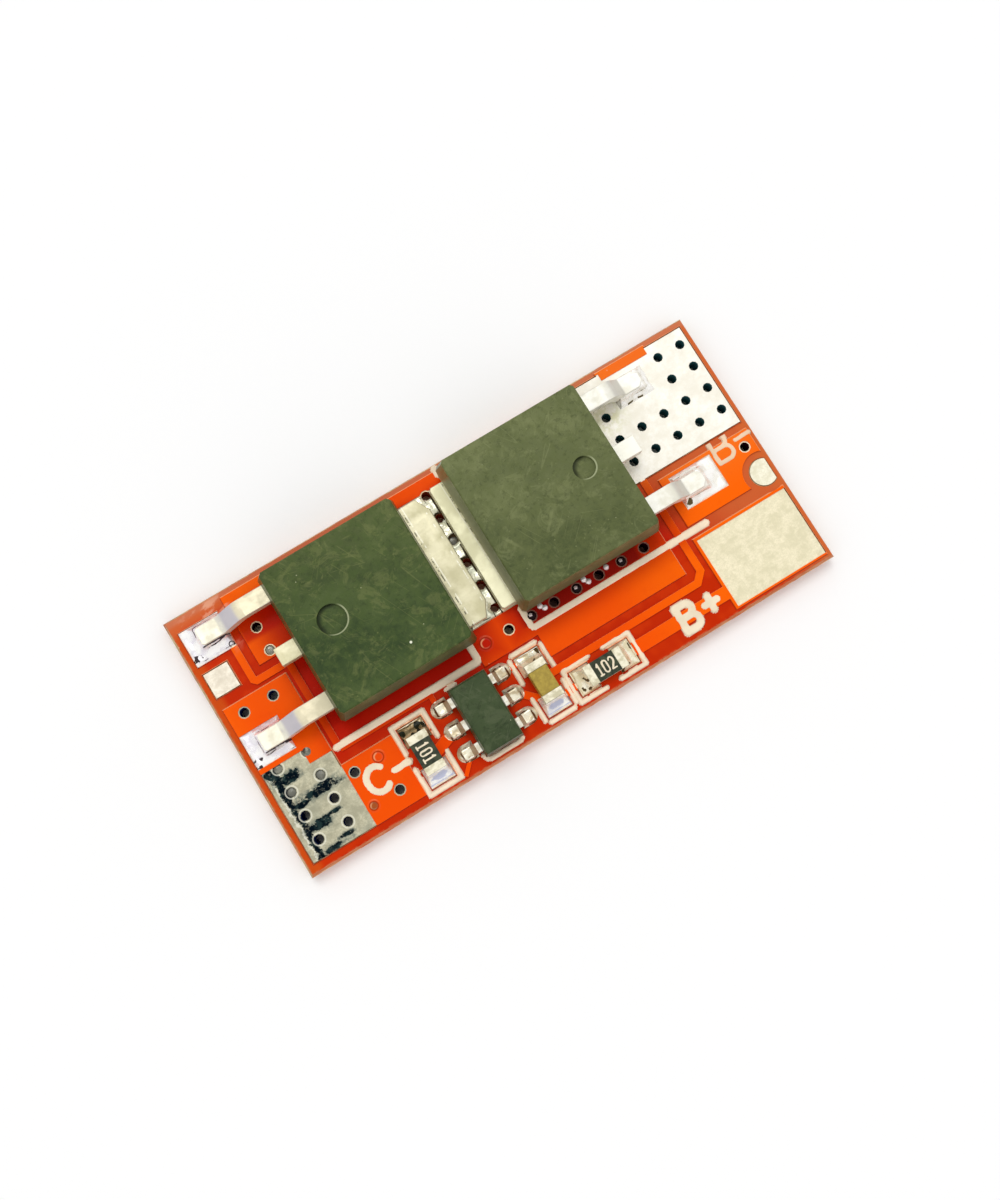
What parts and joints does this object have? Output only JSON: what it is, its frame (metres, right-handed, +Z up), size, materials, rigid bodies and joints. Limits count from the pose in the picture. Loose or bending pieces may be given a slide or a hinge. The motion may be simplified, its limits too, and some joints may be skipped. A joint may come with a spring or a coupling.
{
  "type": "battery protection board",
  "caption": "Small orange circuit board that guards a single lithium cell, with flat power packages, a tiny chip, chip resistors and tinned terminal pads.",
  "frame": {"origin": "under the board's centre, on the plane of its underside", "axes": "+X along the board toward the B pads, +Y across it toward the power packages, +Z up out of the fitted face"},
  "size_m": [0.023, 0.011, 0.0033],
  "materials": {
    "laminate": "glass-epoxy laminate, snapped edges",
    "tinned_copper": "hot-air levelled tin over copper, slightly yellowed",
    "mask": "orange-red solder mask, semi-gloss",
    "ink": "cream printed ink",
    "fet_moulding": "dark olive moulding compound, worn",
    "lead_tin": "matt tin plating",
    "chip_moulding": "dark moulding compound",
    "chip_tin": "matt tin plating",
    "resistor_ceramic": "alumina",
    "end_tin": "tinned end caps",
    "resistor_coat": "dark overglaze",
    "capacitor_ceramic": "ochre ceramic",
    "solder": "bright solder with flux stains"
  },
  "bodies": {
    "root": {"laminate": "laminate", "copper_b_minus": "tinned_copper", "copper_b_plus": "tinned_copper", "copper_c_minus": "tinned_copper", "copper_drain": "tinned_copper", "copper_right_gate": "tinned_copper", "copper_left_gate": "tinned_copper", "copper_supply": "tinned_copper", "copper_sense": "tinned_copper", "copper_sense_return": "tinned_copper", "copper_chip_pads": "tinned_copper", "copper_square_pad": "tinned_copper", "copper_round_pad": "tinned_copper", "mask_top": "mask", "mask_underside": "mask", "silk_lines": "ink", "left_fet_body": "fet_moulding", "left_fet_drain": "lead_tin", "left_fet_gate_lead": "lead_tin", "left_fet_source_lead": "lead_tin", "right_fet_body": "fet_moulding", "right_fet_drain": "lead_tin", "right_fet_gate_lead": "lead_tin", "right_fet_source_lead": "lead_tin", "chip_body": "chip_moulding", "chip_leads": "chip_tin", "resistor_a_ceramic": "resistor_ceramic", "resistor_a_caps": "end_tin", "resistor_a_coat": "resistor_coat", "resistor_b_ceramic": "resistor_ceramic", "resistor_b_caps": "end_tin", "resistor_b_coat": "resistor_coat", "capacitor_ceramic": "capacitor_ceramic", "capacitor_caps": "end_tin", "fet_lead_solder": "solder", "tab_solder": "solder", "chip_solder": "solder", "passive_solder": "solder", "via_solder": "solder"}
  },
  "joints": []
}
